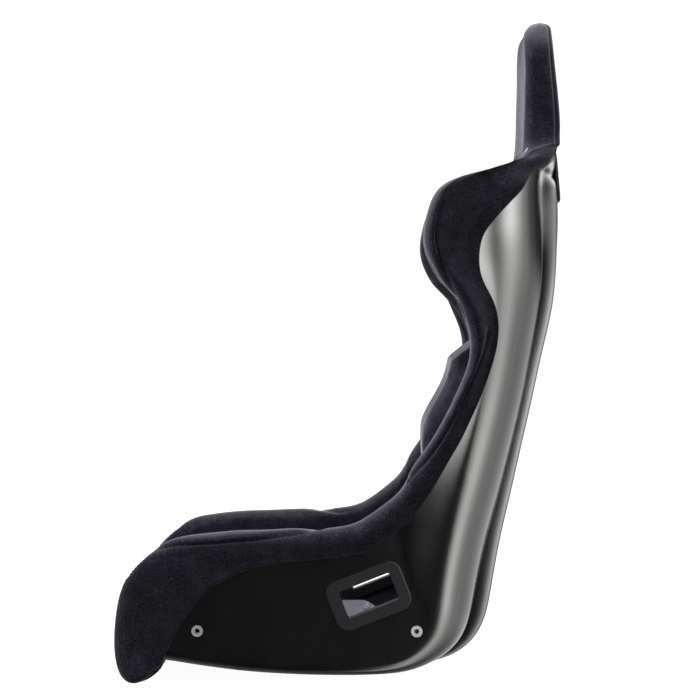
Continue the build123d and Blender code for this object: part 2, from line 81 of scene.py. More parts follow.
# Outline of that side, from its top to the groove: shares of the slope's width and of its height.
SPINE_SIDE = [(0.42, 0.995), (0.58, 0.92), (0.635, 0.5), (0.66, 0.08), (0.78, 0.0)]
BOND = 1.0  # glue between the trims and the inside of the shell
FLANK_X = 205.0  # half-width over the flat sides
MOUNT_YS, MOUNT_Z, MOUNT_HOLE = (-191.2, 98.8), 70.8, 7.0  # side-mount bushes, and the hole's radius
LAP_SLOT, LAP_TILT = (FLANK_X, 35.1, 117.8), 21.6  # centre, and degrees of rise to the rear
SHOULDER_SLOT, SHOULDER_TILT = (72, 286.6, 675), 5
CROTCH_SLOT, CROTCH_OUT = (0, -130, 17), (0, -0.083, -1)
SHELL_OPENING = (79, 44, 5.5)  # round a grommet's sleeve: width, height and corner radius
PAD_OPENING = (80, 45, 6)
SHARP_ANGLE = math.radians(38)  # edges of a cut that turn more than this stay sharp

# Ribs of the seat: rim (y, z), crest (y, z), groove, flat, side, edge, corner, spine, hem.
# The names mean what they mean in the CAD source, and the numbers are the same.
RIBS = [
    ((-272, 38), (-294, 120), 95, 190, 205, 205, 14, 0, 70),
    ((-245, 33), (-256, 175), 95, 190, 205, 205, 14, 0, 128),
    ((-230, 30.7), (-238, 186), 95, 190, 205, 205, 14, 0, 140),
    ((-215, 28.5), (-222, 193), 95, 190, 205, 205, 14, 0, 117),
    ((-190, 24.5), (-195, 198), 95, 190, 205, 205, 14, 0, 88),
    ((-160, 20.5), (-163, 201), 95, 190, 205, 205, 14, 0, 62),
    ((-120, 16), (-122, 203), 95, 190, 205, 205, 14, 0, 47),
    ((-60, 12.5), (-62, 204), 95, 190, 205, 205, 14, 0, 40),
    ((0, 11.5), (-8, 207), 95, 190, 205, 205, 15, 0, 38),
    ((50, 12.5), (22, 215), 95, 188, 205, 205, 17, 2, 40),
    ((88, 16), (46, 231), 95, 180, 205, 205, 22, 6, 45),
    ((118, 26), (62, 243), 95, 168, 205, 205, 30, 10, 45),
    ((142, 40), (74, 254), 96, 156, 205, 205, 38, 16, 42),
    ((160, 60), (82, 265), 97, 146, 205, 206, 45, 21, 42),
    ((171, 88), (88, 275), 98, 139, 205, 207, 49, 24, 43),
    ((179, 130), (94, 286), 99, 134, 205, 208, 51, 24, 42),
    ((192, 190), (102, 298), 100, 131, 205, 209, 51, 22, 37),
    ((208, 247), (113, 315), 100, 130, 205, 211, 51, 19.5, 33),
    ((224, 310), (128, 339), 100, 130, 205, 214, 51, 17.5, 33),
    ((239, 373), (145, 374), 100, 131, 206, 219, 52, 17, 36),
    ((250, 430), (162, 412), 100, 133, 209, 226, 53, 18, 38),
    ((258, 475), (169, 447), 101, 137, 213, 234, 55, 20.5, 40),
    ((264, 512), (161, 487), 102, 141, 218, 245, 58, 21.5, 40),
    ((267, 548), (138, 525), 105, 145, 223, 256, 60, 21.5, 45),
    ((267, 580), (115, 558), 112, 148, 227, 265, 61, 22.5, 66),
    ((266, 607), (107, 590), 124, 151, 229, 268, 61, 24, 82),
    ((264, 634), (113, 624), 138, 154, 227, 266, 58, 25, 102),
    ((263, 654), (126, 652), 146, 155, 221, 257, 50, 24, 110),
    ((264, 671), (154, 668), 148, 154, 208, 236, 40, 21.5, 92),
    ((266, 684), (199, 678), 146, 152, 188, 206, 28, 17.5, 66),
    ((280, 694), (222, 692), 146, 150, 168, 178, 24, 7, 56),
    ((287, 711), (234, 711), 128, 136, 150, 156, 22, 0, 51),
    ((287.5, 716), (238, 716), 118, 128, 144, 149, 21, 0, 47),
    ((288, 726), (241, 726), 104, 114, 135, 140, 21, 0, 0),
    ((289, 745), (243, 745), 96, 106, 129, 133, 22, 0, 0),
    ((287, 780), (244, 780), 92, 102, 126, 130, 22, 0, 0),
    ((284, 812), (244.5, 812), 88, 98, 122, 126, 20, 0, 0),
    ((281.5, 838), (244.5, 838), 82, 91, 115, 119, 18, 0, 0),
    ((280.5, 858), (244.5, 858), 70, 80, 102, 106, 16, 0, 0),
    ((279.5, 872), (245.5, 872), 52, 62, 82, 86, 13, 0, 0),
]
TRIM_FIRST, TRIM_LAST = 5, 31  # ribs that the side trims follow
FAN = [  # stations of the side trims round the front of the seat: hem (y, z), leading edge (y, z)
    ((-238, 26), (-244, 22)),
    ((-237.5, 28), (-256, 9)),
    ((-237, 31), (-273, 1)),
    ((-236, 34), (-288, 6)),
    ((-234.5, 38), (-297.5, 23)),
    ((-232.5, 43), (-301.5, 47)),
    ((-230, 48), (-300.5, 73)),
    ((-226.5, 55), (-298, 98)),
    ((-222.5, 63), (-293, 122)),
    ((-217, 73), (-283, 143)),
    ((-210.5, 84), (-268, 163)),
    ((-202, 97), (-249, 178)),
    ((-189, 113), (-224, 190)),
    ((-173, 130), (-197, 197)),
]


# ---------------------------------------------------------------- section geometry
class Rib:
    def __init__(self, row):
        self.rim, self.crest, self.groove, self.flat, self.side = row[:5]
        self.edge, self.corner, self.spine, self.hem = row[5:]
        self.depth = math.dist(self.rim, self.crest)
        self.front = self.depth - CREST


ribs = [Rib(row) for row in RIBS]


def ease(k):
    return k * k * (3 - 2 * k)


def ramp(k, start, end):
    """0 up to start, 1 from end on, and a smooth step between them."""
    return ease(min(1.0, max(0.0, (k - start) / (end - start))))


def rim_normal(index):
    before = ribs[max(index - 1, 0)].rim
    after = ribs[min(index + 1, len(ribs) - 1)].rim
    length = math.dist(before, after)
    return (before[1] - after[1]) / length, (after[0] - before[0]) / length


def place(index, x, t):
    """Point at half-width x and depth t along a rib that starts square to the rim line."""
    rib = ribs[index]
    normal = rim_normal(index)
    if t <= 0:
        return x, rib.rim[0] + normal[0] * t, rib.rim[1] + normal[1] * t
    k = t / rib.depth
    found = []
    for axis in (0, 1):
        bend = rib.rim[axis] + normal[axis] * rib.depth / 2
        found.append((1 - k) ** 2 * rib.rim[axis] + 2 * k * (1 - k) * bend + k * k * rib.crest[axis])
    return x, found[0], found[1]


def leaned(point, lean, pivot):
    """A point raised with its distance from the pivot, and kept on the shell's outline."""
    x, y, z = point
    raised = z + lean * (y - pivot)
    heights = [rib.rim[1] for rib in ribs[28:]]
    edges = [rib.edge for rib in ribs[28:]]
    return x * np.interp(raised, heights, edges) / np.interp(z, heights, edges), y, raised


def outer_half(index):
    """Half of the shell's outer section as (x, t), from the middle to the front edge."""
    rib = ribs[index]
    top = rib.groove - SPINE_SLOPE
    half = [(top * k / 3, -rib.spine) for k in range(4)]
    half += [(top + SPINE_SLOPE * across, -rib.spine * rise) for across, rise in SPINE_SIDE]
    half += [(rib.groove + (rib.flat - rib.groove) * k / 2, 0) for k in (1, 2)]
    for step in range(1, 7):
        angle = math.radians(15 * step)
        across = rib.flat + (rib.side - rib.flat) * math.sin(angle)
        half.append((across, rib.corner * (1 - math.cos(angle))))
    for step in range(1, 7):
        k = step / 6
        across = rib.side + (rib.edge - rib.side) * k * k
        half.append((across, rib.corner + (rib.front - rib.corner) * k))
    return half


def offset_half(half, distance):
    """The half section moved inwards by a distance, square to itself."""
    moved = []
    for position, (x, t) in enumerate(half):
        x0, t0 = half[max(position - 1, 0)]
        x1, t1 = half[min(position + 1, len(half) - 1)]
        length = math.dist((x0, t0), (x1, t1))
        moved.append((x - (t1 - t0) / length * distance, t + (x1 - x0) / length * distance))
    moved[0] = (0, half[0][1] + distance)
    return moved


def flank_x(index, t):
    """Outer half-width of the shell at depth t on the flank or in the corner."""
    rib = ribs[index]
    if t < rib.corner:
        rise = 1 - max(t, 0) / rib.corner
        return rib.flat + (rib.side - rib.flat) * math.sqrt(1 - rise * rise)
    k = (t - rib.corner) / (rib.front - rib.corner)
    return rib.side + (rib.edge - rib.side) * k * k


# ---------------------------------------------------------------- meshes from rows of points
def refined(rows, times, closed=False):
    """Rows resampled along cubic B-splines that pass close to the given points."""
    rows = np.asarray(rows, float)

    def padded(p):
        if closed:
            return np.concatenate([p[-1:], p, p[:2]])
        return np.concatenate([2 * p[:1] - p[1:2], p, 2 * p[-1:] - p[-2:-1]])

    wide = padded(rows)
    count = len(rows)
    smooth = (wide[:count] + 4 * wide[1:count + 1] + wide[2:count + 2]) / 6
    control = 2 * rows - smooth
    if not closed:
        control[0], control[-1] = rows[0], rows[-1]
    wide = padded(control)
    spans = count if closed else count - 1
    found = []
    for step in range(spans * times + (0 if closed else 1)):
        span = min(step // times, spans - 1)
        f = step / times - span
        weights = ((1 - f) ** 3, 3 * f**3 - 6 * f * f + 4, -3 * f**3 + 3 * f * f + 3 * f + 1, f**3)
        last = min(span + 3, len(wide) - 1)
        picks = (wide[span], wide[span + 1], wide[span + 2], wide[last])
        found.append(sum(w * p for w, p in zip(weights, picks)) / 6)
    return np.array(found)


def new_object(name, vertices, faces, material=None):
    mesh = bpy.data.meshes.new(name)
    mesh.from_pydata([Vector(v) for v in vertices], [], faces)
    mesh.validate()
    piece = bpy.data.objects.new(name, mesh)
    bpy.context.collection.objects.link(piece)
    shade_smooth(piece)
    if material:
        mesh.materials.append(material)
    return piece


def shade_smooth(piece):
    piece.data.polygons.foreach_set("use_smooth", [True] * len(piece.data.polygons))


def to_frame(points):
    """Millimetres of this file to metres of the shared frame."""
    return (np.asarray(points, float) + (0, CENTRE_Y, 0)) * MM


def tube_faces(rows, around):
    """Four-sided faces between rows of points that go round, without the ends."""
    faces = []
    for row in range(rows - 1):
        below, above = row * around, (row + 1) * around
        for k in range(around):
            after = (k + 1) % around
            faces.append((below + k, below + after, above + after, above + k))
    return faces


def smooth_rows(loops, along, around):
    """Closed loops of points, smoothed both ways. Any further columns are carried along."""
    rows = refined(loops, along)
    return np.swapaxes(refined(np.swapaxes(rows, 0, 1), around, closed=True), 0, 1)


def row_normals(points):
    """Outward unit normals of rows of points that go round the piece."""
    around = np.roll(points, -1, axis=1) - np.roll(points, 1, axis=1)
    along = np.gradient(points, axis=0)
    normals = np.cross(along, around)
    normals /= np.maximum(np.linalg.norm(normals, axis=2, keepdims=True), 1e-9)
    middle = len(points) // 2
    centre = points[middle].mean(axis=0)
    if np.sum(normals[middle] * (points[middle] - centre)) < 0:
        normals = -normals
    return normals


def solid_of_rows(name, points, material):
    count, size = points.shape[:2]
    faces = tube_faces(count, size)
    faces.append(tuple(range(size))[::-1])
    faces.append(tuple(range((count - 1) * size, count * size)))
    return outward(new_object(name, to_frame(points.reshape(-1, 3)), faces, material))


def tube(name, loops, along, around, material=None):
    """Closed solid through closed loops of points, with flat ends."""
    return solid_of_rows(name, smooth_rows(loops, along, around), material)


def creased(points, off_line, depth, width):
    """Rows of points with a valley of the given depth where the distance off a line is nought."""
    pull = depth * np.exp(-((off_line / width) ** 2))
    return points - row_normals(points) * pull[..., None]


def ruffled(points, size, height, seed):
    """Rows of points with a soft unevenness, as of foam under cloth."""
    shift = np.empty(points.shape[:2])
    for index in np.ndindex(*shift.shape):
        shift[index] = noise.noise(Vector(points[index]) / size + Vector((seed, 0, 0)))
    return points + row_normals(points) * (height * shift)[..., None]


def stitches(name, line, normals, material, pitch=5.0, length=3.2, thick=0.55):
    """A row of stitches along a line of points on the cloth."""
    steps = np.linalg.norm(np.diff(line, axis=0), axis=1)
    run = np.concatenate([[0], np.cumsum(steps)])
    vertices, faces = [], []
    for start in np.arange(pitch, run[-1] - pitch, pitch):
        middle = np.array([np.interp(start, run, line[:, a]) for a in range(3)])
        ahead = np.array([np.interp(start + 1, run, line[:, a]) for a in range(3)]) - middle
        ahead /= np.linalg.norm(ahead)
        up = np.array([np.interp(start, run, normals[:, a]) for a in range(3)])
        side = np.cross(ahead, up)
        side /= np.linalg.norm(side)
        up = np.cross(side, ahead)
        first = len(vertices)
        for share in (-1, -0.6, 0, 0.6, 1):
            girth = thick * math.sqrt(max(0, 1 - share**2)) + 0.05
            for k in range(6):
                angle = math.pi * k / 3
                out = girth * (math.cos(angle) * side + math.sin(angle) * up)
                vertices.append(middle + ahead * share * length / 2 + out + 0.25 * up)
        faces += [tuple(first + v for v in face) for face in tube_faces(5, 6)]
        faces += [tuple(first + k for k in range(6))[::-1], tuple(first + 24 + k for k in range(6))]
    return outward(new_object(name, to_frame(vertices), faces, material))


def outward(piece):
    """Faces all turned to the outside."""
    work = bmesh.new()
    work.from_mesh(piece.data)
    bmesh.ops.recalc_face_normals(work, faces=work.faces)
    if work.calc_volume(signed=True) < 0:
        bmesh.ops.reverse_faces(work, faces=work.faces)
    work.to_mesh(piece.data)
    work.free()
    return piece


def applied(piece):
    """The piece with its modifiers applied."""
    graph = bpy.context.evaluated_depsgraph_get()
    mesh = bpy.data.meshes.new_from_object(piece.evaluated_get(graph))
    piece.modifiers.clear()
    piece.data = mesh
    shade_smooth(piece)
    return piece


# ---------------------------------------------------------------- shell
def slot_frame(name, side=1):
    """Origin, direction along the slot and direction out of the shell, in millimetres."""
    if name == "lap":
        x, y, z = LAP_SLOT
        tilt = math.radians(LAP_TILT)
        return (side * x, y, z), (0, math.cos(tilt), math.sin(tilt)), (side, 0, 0)
    if name == "shoulder":
        x, y, z = SHOULDER_SLOT
        tilt = math.radians(SHOULDER_TILT)
        return (side * x, y, z), (1, 0, 0), (0, math.cos(tilt), math.sin(tilt))
    return CROTCH_SLOT, (1, 0, 0), CROTCH_OUT


SLOTS = [("lap", 1), ("lap", -1), ("shoulder", 1), ("shoulder", -1), ("crotch", 1)]


def rounded_outline(width, height, radius, steps=6):
    outline = []
    for quarter in range(4):
        sign_x = 1 if quarter in (0, 3) else -1
        sign_y = 1 if quarter in (0, 1) else -1
        for step in range(steps + 1):
            angle = math.radians(90 * (quarter + step / steps))
            x = sign_x * (width / 2 - radius) + radius * math.cos(angle)
            y = sign_y * (height / 2 - radius) + radius * math.sin(angle)
            outline.append((x, y))
    return outline


def slot_prism(slot, side, width, height, radius, low, high):
    """Closed prism along a slot's axis, used to cut its opening."""
    origin, along, out = (np.array(v, float) for v in slot_frame(slot, side))
    out /= np.linalg.norm(out)
    up = np.cross(out, along)
    vertices = []
    for level in (low, high):
        for x, y in rounded_outline(width, height, radius):
            vertices.append(origin + along * x + up * y + out * level)
    around = len(vertices) // 2
    faces = tube_faces(2, around)
    faces += [tuple(range(around))[::-1], tuple(range(around, 2 * around))]
    return outward(new_object("cutter", to_frame(vertices), faces))


def cut(piece, cutters):
    """The piece with each cutter taken out of it."""
    for cutter in cutters:
        difference = piece.modifiers.new("cut", "BOOLEAN")
        difference.operation = "DIFFERENCE"
        difference.solver = "EXACT"
        difference.object = cutter
        applied(piece)
        bpy.data.objects.remove(cutter)
    piece.data.set_sharp_from_angle(angle=SHARP_ANGLE)
    return piece


def opened(piece, slot, side, width, height, depth=60):
    """Opening through a piece at a harness slot: its faces there go, and the two rims are joined."""
    origin, along, out = (np.array(v, float) for v in slot_frame(slot, side))
    up = np.cross(out, along)
    work = bmesh.new()
    work.from_mesh(piece.data)
    reached = set()
    for vertex in work.verts:
        away = np.array(vertex.co) / MM - (0, CENTRE_Y, 0) - origin
        x, y, z = abs(away @ along), abs(away @ up), away @ out
        if x < width / 2 and y < height / 2 and -depth < z < 20:
            reached.update(vertex.link_faces)
    bmesh.ops.delete(work, geom=list(reached), context="FACES")
    rims = [edge for edge in work.edges if edge.is_boundary]
    bmesh.ops.bridge_loops(work, edges=rims)
    work.to_mesh(piece.data)
    work.free()
    return piece


def make_shell(material):
    loops = []
    for index in range(len(ribs)):
        outer = outer_half(index)
        inner = offset_half(outer, LAMINATE)
        loop = [(-x, t) for x, t in reversed(outer[1:])] + outer + inner[::-1]
        loop += [(-x, t) for x, t in inner[1:]]
        loops.append([place(index, x, t) for x, t in loop])
    shell = tube("seat_shell", loops, 5, 3, material)
    cutters = []
    for name, side in SLOTS:
        cutters.append(slot_prism(name, side, *SHELL_OPENING, -26, 22))
    for side in SIDES.values():
        for y in MOUNT_YS:
            cutters.append(bolt_hole(side, y, MOUNT_Z, MOUNT_HOLE))
    cut(shell, cutters)
    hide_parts("shell")
    return shell


def bolt_hole(side, y, z, radius, around=32):
    """Cylinder through one flank, used to cut a side-mount hole."""
    vertices = []
    for x in (FLANK_X - 25, FLANK_X + 20):
        for step in range(around):
            angle = 2 * math.pi * step / around
            vertices.append((side * x, y + radius * math.cos(angle), z + radius * math.sin(angle)))
    faces = tube_faces(2, around)
    faces += [tuple(range(around))[::-1], tuple(range(around, 2 * around))]
    return outward(new_object("cutter", to_frame(vertices), faces))


# ---------------------------------------------------------------- side trims
FLAP_POINTS, ROLL_POINTS, INNER_POINTS, TOE_POINTS, BACK_POINTS = 8, 9, 7, 5, 5


def face_level(index):
    """Depth of the lining's face: thicker behind the lower back."""
    return 20 + 14 * (ramp(index, 13, 16) - ramp(index, 21, 24))


def toe(index):
    """Where the trim's inner face runs under the lining."""
    rib = ribs[index]
    return min(rib.flat - 3, rib.side - PAD_IN - 8), face_level(index) - 4


def trim_section(index):
    """Closed section of a side trim, (x, t): flap, roll, inner face, corner and back along the shell."""
    rib = ribs[index]
    low = max(rib.depth - rib.hem, 1.0)
    section = []
    for k in range(FLAP_POINTS):
        share = k / (FLAP_POINTS - 1)
        t = low + (rib.front - 3 - low) * share
        out = FLAP + (ROLL_OUT - FLAP) * ramp(share, 0, 0.9)
        section.append((flank_x(index, t) + FLAP_GAP + out, t))
    wide = (ROLL_OUT + ROLL_IN) / 2
    lean = WING_LEAN * (ramp(index, 20, 22.5) - ramp(index, 24, 26))
    for k in range(ROLL_POINTS):
        angle = math.radians(10 + 20 * k)
        across = rib.edge + ROLL_OUT - wide + wide * math.cos(angle)
        ahead = lean * max(0.0, -math.cos(angle)) * math.sin(angle)
        section.append((across, rib.front - 1 + (CREST + 1) * math.sin(angle) + ahead))
    for k in range(INNER_POINTS):
        share = k / (INNER_POINTS - 1)
        t = rib.front - 12 - (rib.front - 12 - rib.corner) * share
        inside = ROLL_IN - (ROLL_IN - PAD_IN) * ramp(share, 0, 0.6)
        section.append((flank_x(index, t) - inside, t))
    start = section[-1]
    end = toe(index)
    for k in range(1, TOE_POINTS):
        share = k / (TOE_POINTS - 1)
        bend = (start[0], end[1])
        section.append(
            tuple(
                (1 - share) ** 2 * start[a] + 2 * share * (1 - share) * bend[a] + share**2 * end[a]
                for a in (0, 1)
            )
        )
    section.append((end[0], LAMINATE + BOND))
    against = offset_half(outer_half(index), LAMINATE + BOND)
    section += against[12:17:2]
    for k in range(1, BACK_POINTS):
        t = rib.corner + (rib.front - 2 - rib.corner) * k / (BACK_POINTS - 1)
        section.append((flank_x(index, t) - LAMINATE - BOND, t))
    section += [(rib.edge - LAMINATE - BOND, rib.front + 2), (rib.edge + FLAP_GAP, rib.front + 2)]
    for k in range(BACK_POINTS):
        t = rib.front - 2 - (rib.front - 2 - low) * k / (BACK_POINTS - 1)
        section.append((flank_x(index, t) + FLAP_GAP, t))
    return section


def fan_section(position):
    """Section of a side trim at the front, (x, y, z), with as many points as trim_section."""
    hem, lead = (np.array(p, float) for p in FAN[position])
    length = np.linalg.norm(lead - hem)
    growth = ramp(position, len(FAN) - 5, len(FAN))
    inside = 12 + (ROLL_IN - 12) * growth
    front = max(length - CREST - 1, 0.3 * length)
    flat = []
    for k in range(FLAP_POINTS):
        share = k / (FLAP_POINTS - 1)
        out = FLAP + (ROLL_OUT - FLAP) * ramp(share, 0, 0.9)
        flat.append((FLANK_X + FLAP_GAP + out, (front - 2) * share))
    wide = (ROLL_OUT + inside) / 2
    for k in range(ROLL_POINTS):
        angle = math.radians(10 + 20 * k)
        across = FLANK_X + ROLL_OUT - wide + wide * math.cos(angle)
        flat.append((across, front + (length - front) * math.sin(angle)))
    for k in range(INNER_POINTS):
        flat.append((FLANK_X - inside + 0.5 * k, front - 0.4 * front * k / (INNER_POINTS - 1)))
    start = flat[-1]
    rest = TOE_POINTS + 2 * BACK_POINTS + 4  # as many points as trim_section has past its inner face
    for k in range(1, rest + 1):
        share = k / rest
        across = start[0] + (FLANK_X + FLAP_GAP - start[0]) * min(1, 2 * share)
        flat.append((across, start[1] * (1 - share)))
    ahead = (lead - hem) / length
    return [(x, *(hem + ahead * s)) for x, s in flat]


# Seams of a side trim: (station, how far the seam runs behind the leading edge), negative once it
# has crossed to the inside. Stations count the fan round the front first, then the ribs.
SEAMS = {
    "thigh": [(9, -2), (11, 1), (12, 6), (13, 12), (14, 13.5), (15, 12), (16, 5), (17, -6)],
    "side": [(23, 3), (24, 5), (25, 7), (26, 9), (27, 11), (28, 13), (29, 18), (30, 25)],
    "wing": [(30, -9), (31, -3), (32, 4), (33, 13), (34, 16), (35, 15.5), (36, 14), (37, 12), (38, 10)],
}
NO_SEAM = 999.0  # stands for a seam's place where it doesn't run
SEAM_DEPTH, SEAM_WIDTH = 3.4, 2.4
WELT_RISE, WELT_WIDTH, WELT_AHEAD = 1.4, 4.5, 6.0  # the cloth swells beside the seam
STITCH_BEHIND = 3.2  # from the seam to its row of stitches
TRIM_ALONG, TRIM_AROUND = 5, 6  # how many times the sections' points are multiplied
LEAN = 0.42  # rise to the rear of the seam between the side trims and the headrest's cover
TRIM_LEAN = {30: 0.12, 31: LEAN}  # by rib
HEAD_PIVOT, TRIM_PIVOT = 272, 270  # where the two sides of that seam keep their height
HALF_ROUND = FLAP_POINTS + 4  # the roll's foremost point in a section


def behind_edge(section, front):
    """Distance of each point of a section behind the leading edge, negative past it."""
    found = []
    for position, t in enumerate(section):
        drop = front - t
        found.append(drop if position <= HALF_ROUND else -drop)
    return found


def make_trim(name, side, material, thread):
    """Padded trim of one side, from under the nose round the front and up to the headrest."""
    loops = []
    for position in range(len(FAN)):
        section = fan_section(position)
        hem, lead = FAN[position]
        length = math.dist(hem, lead)
        depths = [math.dist(hem, point[1:]) for point in section]
        drops = behind_edge(depths, length)
        loops.append([(*point, drop) for point, drop in zip(section, drops)])
    for index in range(TRIM_FIRST, TRIM_LAST + 1):
        section = trim_section(index)
        drops = behind_edge([t for _, t in section], ribs[index].depth)
        lean = TRIM_LEAN.get(index, 0)
        placed = [place(index, x, t) for x, t in section]
        if lean:
            placed = [leaned(point, lean, TRIM_PIVOT) for point in placed]
        loops.append([(*point, drop) for point, drop in zip(placed, drops)])
    rows = smooth_rows(np.array(loops) * (side, 1, 1, 1), TRIM_ALONG, TRIM_AROUND)
    points, drops = rows[..., :3], rows[..., 3].copy()
    drops[:, (HALF_ROUND + 6) * TRIM_AROUND:] = -NO_SEAM
    stations = np.arange(len(points)) / TRIM_ALONG
    shaped = ruffled(points, 46, 0.9, 3 + side)
    sewn = []
    for seam, knots in SEAMS.items():
        course = np.interp(stations, [k[0] for k in knots], [k[1] for k in knots], NO_SEAM, NO_SEAM)
        off_seam = drops - course[:, None]
        shaped = creased(shaped, off_seam, SEAM_DEPTH, SEAM_WIDTH)
        shaped = creased(shaped, off_seam + WELT_AHEAD, -WELT_RISE, WELT_WIDTH)
        line, normals = [], []
        skin = row_normals(shaped)
        for row in np.flatnonzero(course < NO_SEAM):
            nearest = np.argmin(np.abs(off_seam[row] - STITCH_BEHIND))
            line.append(shaped[row, nearest])
            normals.append(skin[row, nearest])
        sewn.append(stitches(f"stitching_{seam}_{name}", np.array(line), np.array(normals), thread))
    trim = solid_of_rows(f"side_trim_{name}", shaped, material)
    for stitching in sewn:
        stitching.parent = trim
    opened(trim, "lap", side, *PAD_OPENING[:2])
    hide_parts(f"thigh_bolster_{name}", f"side_bolster_{name}", f"shoulder_wing_{name}")
    return trim


# ---------------------------------------------------------------- front roll
# Section of the front roll, (y, z): up its face against the shell, then down its fabric face.
ROLL_BACK = [
    (-240, 28), (-256, 30), (-274, 32), (-276, 44), (-274, 60), (-271, 76), (-268, 94), (-266, 110),
]
ROLL_FRONT = [(-270, 121), (-281, 123), (-292, 114), (-299, 92), (-301.5, 64), (-299, 36), (-290, 13),
              (-273, 5), (-254, 11), (-240, 22)]


ROLL_HALF, ROLL_STATIONS = 196, 17


def make_front_roll(material):
    """Padded roll over the pan's front edge: higher at its sides than in the middle."""
    loops = []
    for number in range(ROLL_STATIONS):
        x = ROLL_HALF * (2 * number / (ROLL_STATIONS - 1) - 1)
        side = ramp(abs(x), 120, ROLL_HALF)
        loop = []
        for y, z in ROLL_BACK + ROLL_FRONT:
            rise = 12 * side * ramp(z, 60, 120) - 4 * side * (1 - ramp(z, 0, 40))
            sag = 3 * (1 - side) * ramp(z, 60, 120)
            loop.append((x, y + 3 * side * ramp(-y, 280, 300), z + rise - sag))
        loops.append(loop)
    roll = tube("front_roll_cover", loops, 5, 4, material)
    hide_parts("front_roll")
    return roll


# ---------------------------------------------------------------- headrest
HEAD_TOP = [  # above the shell: height, rear y, front y, half-width
    (883, 285.5, 248, 70),
    (888, 282.5, 254, 54),
    (891.3, 278, 260, 34),
    (893, 273, 267, 12),
]
HEAD_FIRST = 31  # rib where the cover starts
HEAD_LEVEL = 760  # height from which its rows no longer lean
HEAD_WRAP = 5  # thickness of the cover outside the shell
HEAD_SEAM = 5.2  # where the seam runs in a section, counted in its points
HEAD_ALONG, HEAD_AROUND = 5, 5


def head_half(depth, flat, side, edge, corner):
    """Half of the headrest's section, (x, t): thin over the back, rounded lobes, hollowed front."""
    wrap = HEAD_WRAP
    half = [(0, -wrap), (flat * 0.35, -wrap), (flat * 0.7, -wrap), (flat, -wrap + 0.4)]
    for step in (1, 2, 3, 4, 5):
        angle = math.radians(18 * step)
        across = flat + (side - flat + wrap) * math.sin(angle)
        half.append((across, -wrap + (corner + wrap) * (1 - math.cos(angle))))
    tip = edge + wrap
    half += [(tip, depth - 14), (tip - 1.5, depth - 7), (tip - 7, depth - 1.5), (tip - 15, depth)]
    for across, hollow in ((0.78, 1.2), (0.66, 4), (0.5, 7), (0.3, 9.5), (0.14, 10.5)):
        half.append((tip * across, depth - hollow))
    half.append((0, depth - 11))
    return half


def make_headrest(material):
    """Cover of the headrest, closed over its top."""
    loops = []
    for index in range(HEAD_FIRST, len(ribs)):
        rib = ribs[index]
        half = head_half(rib.depth, rib.flat, rib.side, rib.edge, rib.corner)
        loop = [place(index, x, t) for x, t in half + [(-x, t) for x, t in half[-2:0:-1]]]
        lean = LEAN * (1 - ramp(rib.rim[1], ribs[HEAD_FIRST].rim[1], HEAD_LEVEL))
        loops.append([leaned(point, lean, HEAD_PIVOT) for point in loop])
    for z, rear, front, edge in HEAD_TOP:
        depth = rear - front
        half = head_half(depth - HEAD_WRAP, edge * 0.6, edge * 0.9, edge - HEAD_WRAP, depth * 0.45)
        loop = half + [(-x, t) for x, t in half[-2:0:-1]]
        loops.append([(x, rear - HEAD_WRAP - t * (depth - HEAD_WRAP) / depth, z) for x, t in loop])
    points = smooth_rows(loops, HEAD_ALONG, HEAD_AROUND)
    lanes = np.arange(points.shape[1]) / HEAD_AROUND
    shaped = ruffled(points, 40, 0.8, 9)
    for lane in (HEAD_SEAM, points.shape[1] / HEAD_AROUND - HEAD_SEAM):
        off_line = np.broadcast_to((lanes - lane) * 6.0, points.shape[:2])
        shaped = creased(shaped, off_line, 2.2, 2.4)
    headrest = solid_of_rows("headrest_cover_fabric", shaped, material)
    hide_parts("headrest_cover")
    return headrest


# ---------------------------------------------------------------- lining of the pan and the back
def make_lining(material):
    """Flat padding on the pan and up the back, in one piece."""
    loops = []
    for index in range(1, TRIM_LAST + 1):
        level = face_level(index)
        half = toe(index)[0] + 3
        loop = []
        for k in range(9):
            across = half * (2 * k / 8 - 1)
            loop.append((across, level + 3 * (1 - (across / half) ** 2)))
        for k in range(9):
            loop.append((half * (1 - 2 * k / 8), LAMINATE + 1.5))
        loops.append([place(index, x, t) for x, t in loop])
    lining = tube("seat_lining", loops, 4, 4, material)
    cutters = [slot_prism("crotch", 1, *PAD_OPENING, -60, 20)]
    for side in SIDES.values():
        cutters.append(slot_prism("shoulder", side, *PAD_OPENING, -80, 10))
    cut(lining, cutters)
    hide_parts("pan_padding", "back_padding")
    return lining


# ---------------------------------------------------------------- lift-out cushions
STRIP_STACK = 3.0  # the two halves of the hook-and-loop strips and their gap
PRESSURE, SWELL_FRAMES, SWELL_CAP = 4, 18, 6  # of the cushions' inflation; the cap is in millimetres
SEAT_FIRST, SEAT_LAST, SEAT_HALF, SEAT_ROUND = 1, 9, 150, 18  # ribs, half-width and edge rounding
LUMBAR_FIRST, LUMBAR_LAST, LUMBAR_HALF, LUMBAR_ROUND = 15, 21, 142, 16
SEAT_FOAM, THIGH_RISE = 38, 30  # thickness, and how much more there is under the thighs
CROTCH_PASS = (108, 71, 18)  # opening in the seat cushion over the crotch grommet's flange


